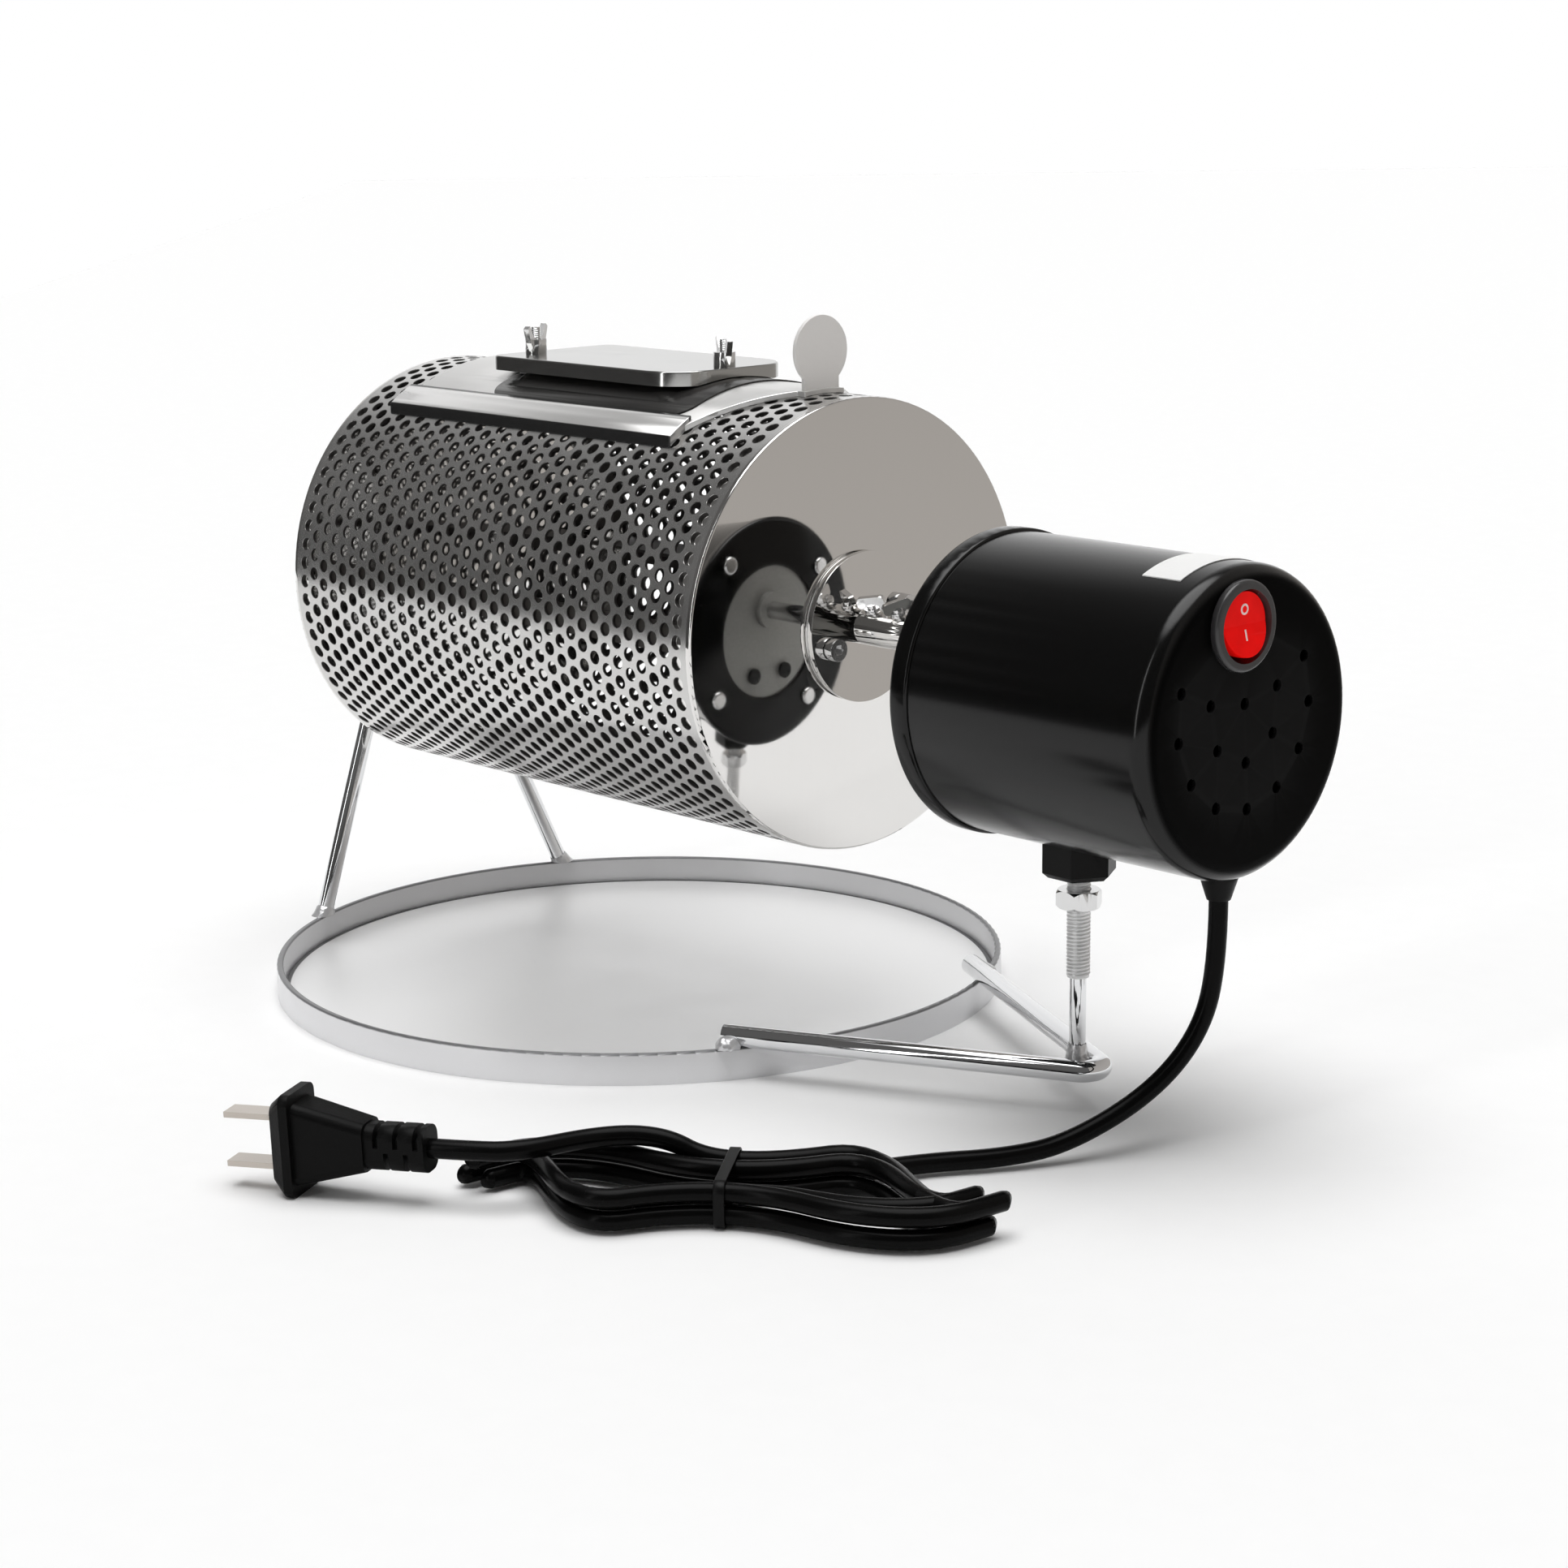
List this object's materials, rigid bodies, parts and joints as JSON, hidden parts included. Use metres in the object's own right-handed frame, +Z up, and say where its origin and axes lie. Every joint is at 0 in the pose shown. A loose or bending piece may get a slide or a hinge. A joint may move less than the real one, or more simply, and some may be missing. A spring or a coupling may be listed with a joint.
{
  "type": "drum coffee roaster",
  "caption": "Small electric coffee roaster: a perforated steel drum with a clamped hatch lid turns over a round tray stand, driven by a black canned gearmotor with a rocker switch and cord.",
  "frame": {"origin": "on the floor under the centre of the round tray", "axes": "+Z up, +X along the drum axis towards the motor, -Y towards the side with the cord"},
  "size_m": [0.3572, 0.3071, 0.2044],
  "materials": {
    "perforated_steel": "polished",
    "mirror_steel": "mirror polished",
    "plain_steel": "bright",
    "chrome_rod": "chrome plated",
    "pan_steel": "satin",
    "black_enamel": "gloss",
    "gear_alloy": "satin",
    "black_plastic": "satin",
    "red_plastic": "gloss",
    "white_label": "matt",
    "seal_rubber": "matt",
    "cord_rubber": "satin",
    "brass_bush": "satin"
  },
  "bodies": {
    "stand": {"tray_ring": "chrome_rod", "tray_pan": "pan_steel", "bearing_housing": "chrome_rod", "bearing_bush": "brass_bush", "leg_near": "chrome_rod", "leg_far": "chrome_rod", "v_bar": "chrome_rod", "post_rod": "chrome_rod", "weld_beads": "chrome_rod", "post_thread": "plain_steel", "post_knob": "black_plastic", "motor_can": "black_enamel", "rear_cover": "black_enamel", "cover_screws": "plain_steel", "gearmotor": "gear_alloy", "gearmotor_screws": "black_enamel", "run_capacitor": "black_plastic", "switch_bezel": "black_plastic", "switch_terminals": "plain_steel", "blank_label": "white_label", "cord_grommet": "black_plastic", "cord_drop": "cord_rubber", "cord_hank": "cord_rubber", "cord_lead": "cord_rubber", "cord_tie": "black_plastic", "plug_body": "cord_rubber", "plug_blades": "plain_steel"},
    "drum": {"drum_shell": "perforated_steel", "front_disc": "mirror_steel", "rear_disc": "mirror_steel", "vane_near": "plain_steel", "vane_low": "plain_steel", "vane_far": "plain_steel", "hatch_saddle": "mirror_steel", "hatch_rail_far": "plain_steel", "hatch_rail_near": "plain_steel", "hatch_neck": "plain_steel", "grip_tab": "plain_steel", "lid_studs": "plain_steel", "hub_pad": "plain_steel", "hub_flange": "mirror_steel", "hub_screws": "plain_steel", "rear_stub": "plain_steel", "rear_screws": "plain_steel", "motor_shaft": "plain_steel", "stub_collar": "plain_steel"},
    "lid": {"hatch_lid": "mirror_steel", "lid_seal": "seal_rubber"},
    "wing_nut_rear": {"wing_nut_rear": "plain_steel"},
    "wing_nut_front": {"wing_nut_front": "plain_steel"},
    "thumb_screw_drum": {"thumb_screw_drum": "plain_steel"},
    "thumb_screw_motor": {"thumb_screw_motor": "plain_steel"},
    "rocker": {"switch_rocker": "red_plastic"},
    "lock_nut": {"lock_nut": "plain_steel"}
  },
  "joints": [
    {"name": "drum_spin", "type": "hinge", "parent": "stand", "child": "drum", "pos_m": [0, 0, 0.12], "axis": [1, 0, 0], "continuous": true},
    {"name": "lid_lift", "type": "slide", "parent": "drum", "child": "lid", "axis": [0, 0, 1], "range_m": [0, 0.03]},
    {"name": "wing_nut_rear_spin", "type": "hinge", "parent": "lid", "child": "wing_nut_rear", "pos_m": [-0.0315, -0.009, 0.1879], "axis": [0, 0, 1], "continuous": true},
    {"name": "wing_nut_front_spin", "type": "hinge", "parent": "lid", "child": "wing_nut_front", "pos_m": [0.042, 0.0005, 0.1879], "axis": [0, 0, 1], "continuous": true},
    {"name": "thumb_screw_drum_spin", "type": "hinge", "parent": "drum", "child": "thumb_screw_drum", "pos_m": [0.1044, 0, 0.12], "axis": [0, -0.342, 0.9397], "continuous": true},
    {"name": "thumb_screw_motor_spin", "type": "hinge", "parent": "drum", "child": "thumb_screw_motor", "pos_m": [0.1142, 0, 0.12], "axis": [0, -0.342, 0.9397], "continuous": true},
    {"name": "rocker_tilt", "type": "hinge", "parent": "stand", "child": "rocker", "pos_m": [0.2329, -0.0045, 0.1375], "axis": [0, 1, 0], "range_deg": [0, 14]},
    {"name": "lock_nut_spin", "type": "hinge", "parent": "stand", "child": "lock_nut", "pos_m": [0.1789, 0, 0.057], "axis": [0, 0, 1], "continuous": true}
  ]
}
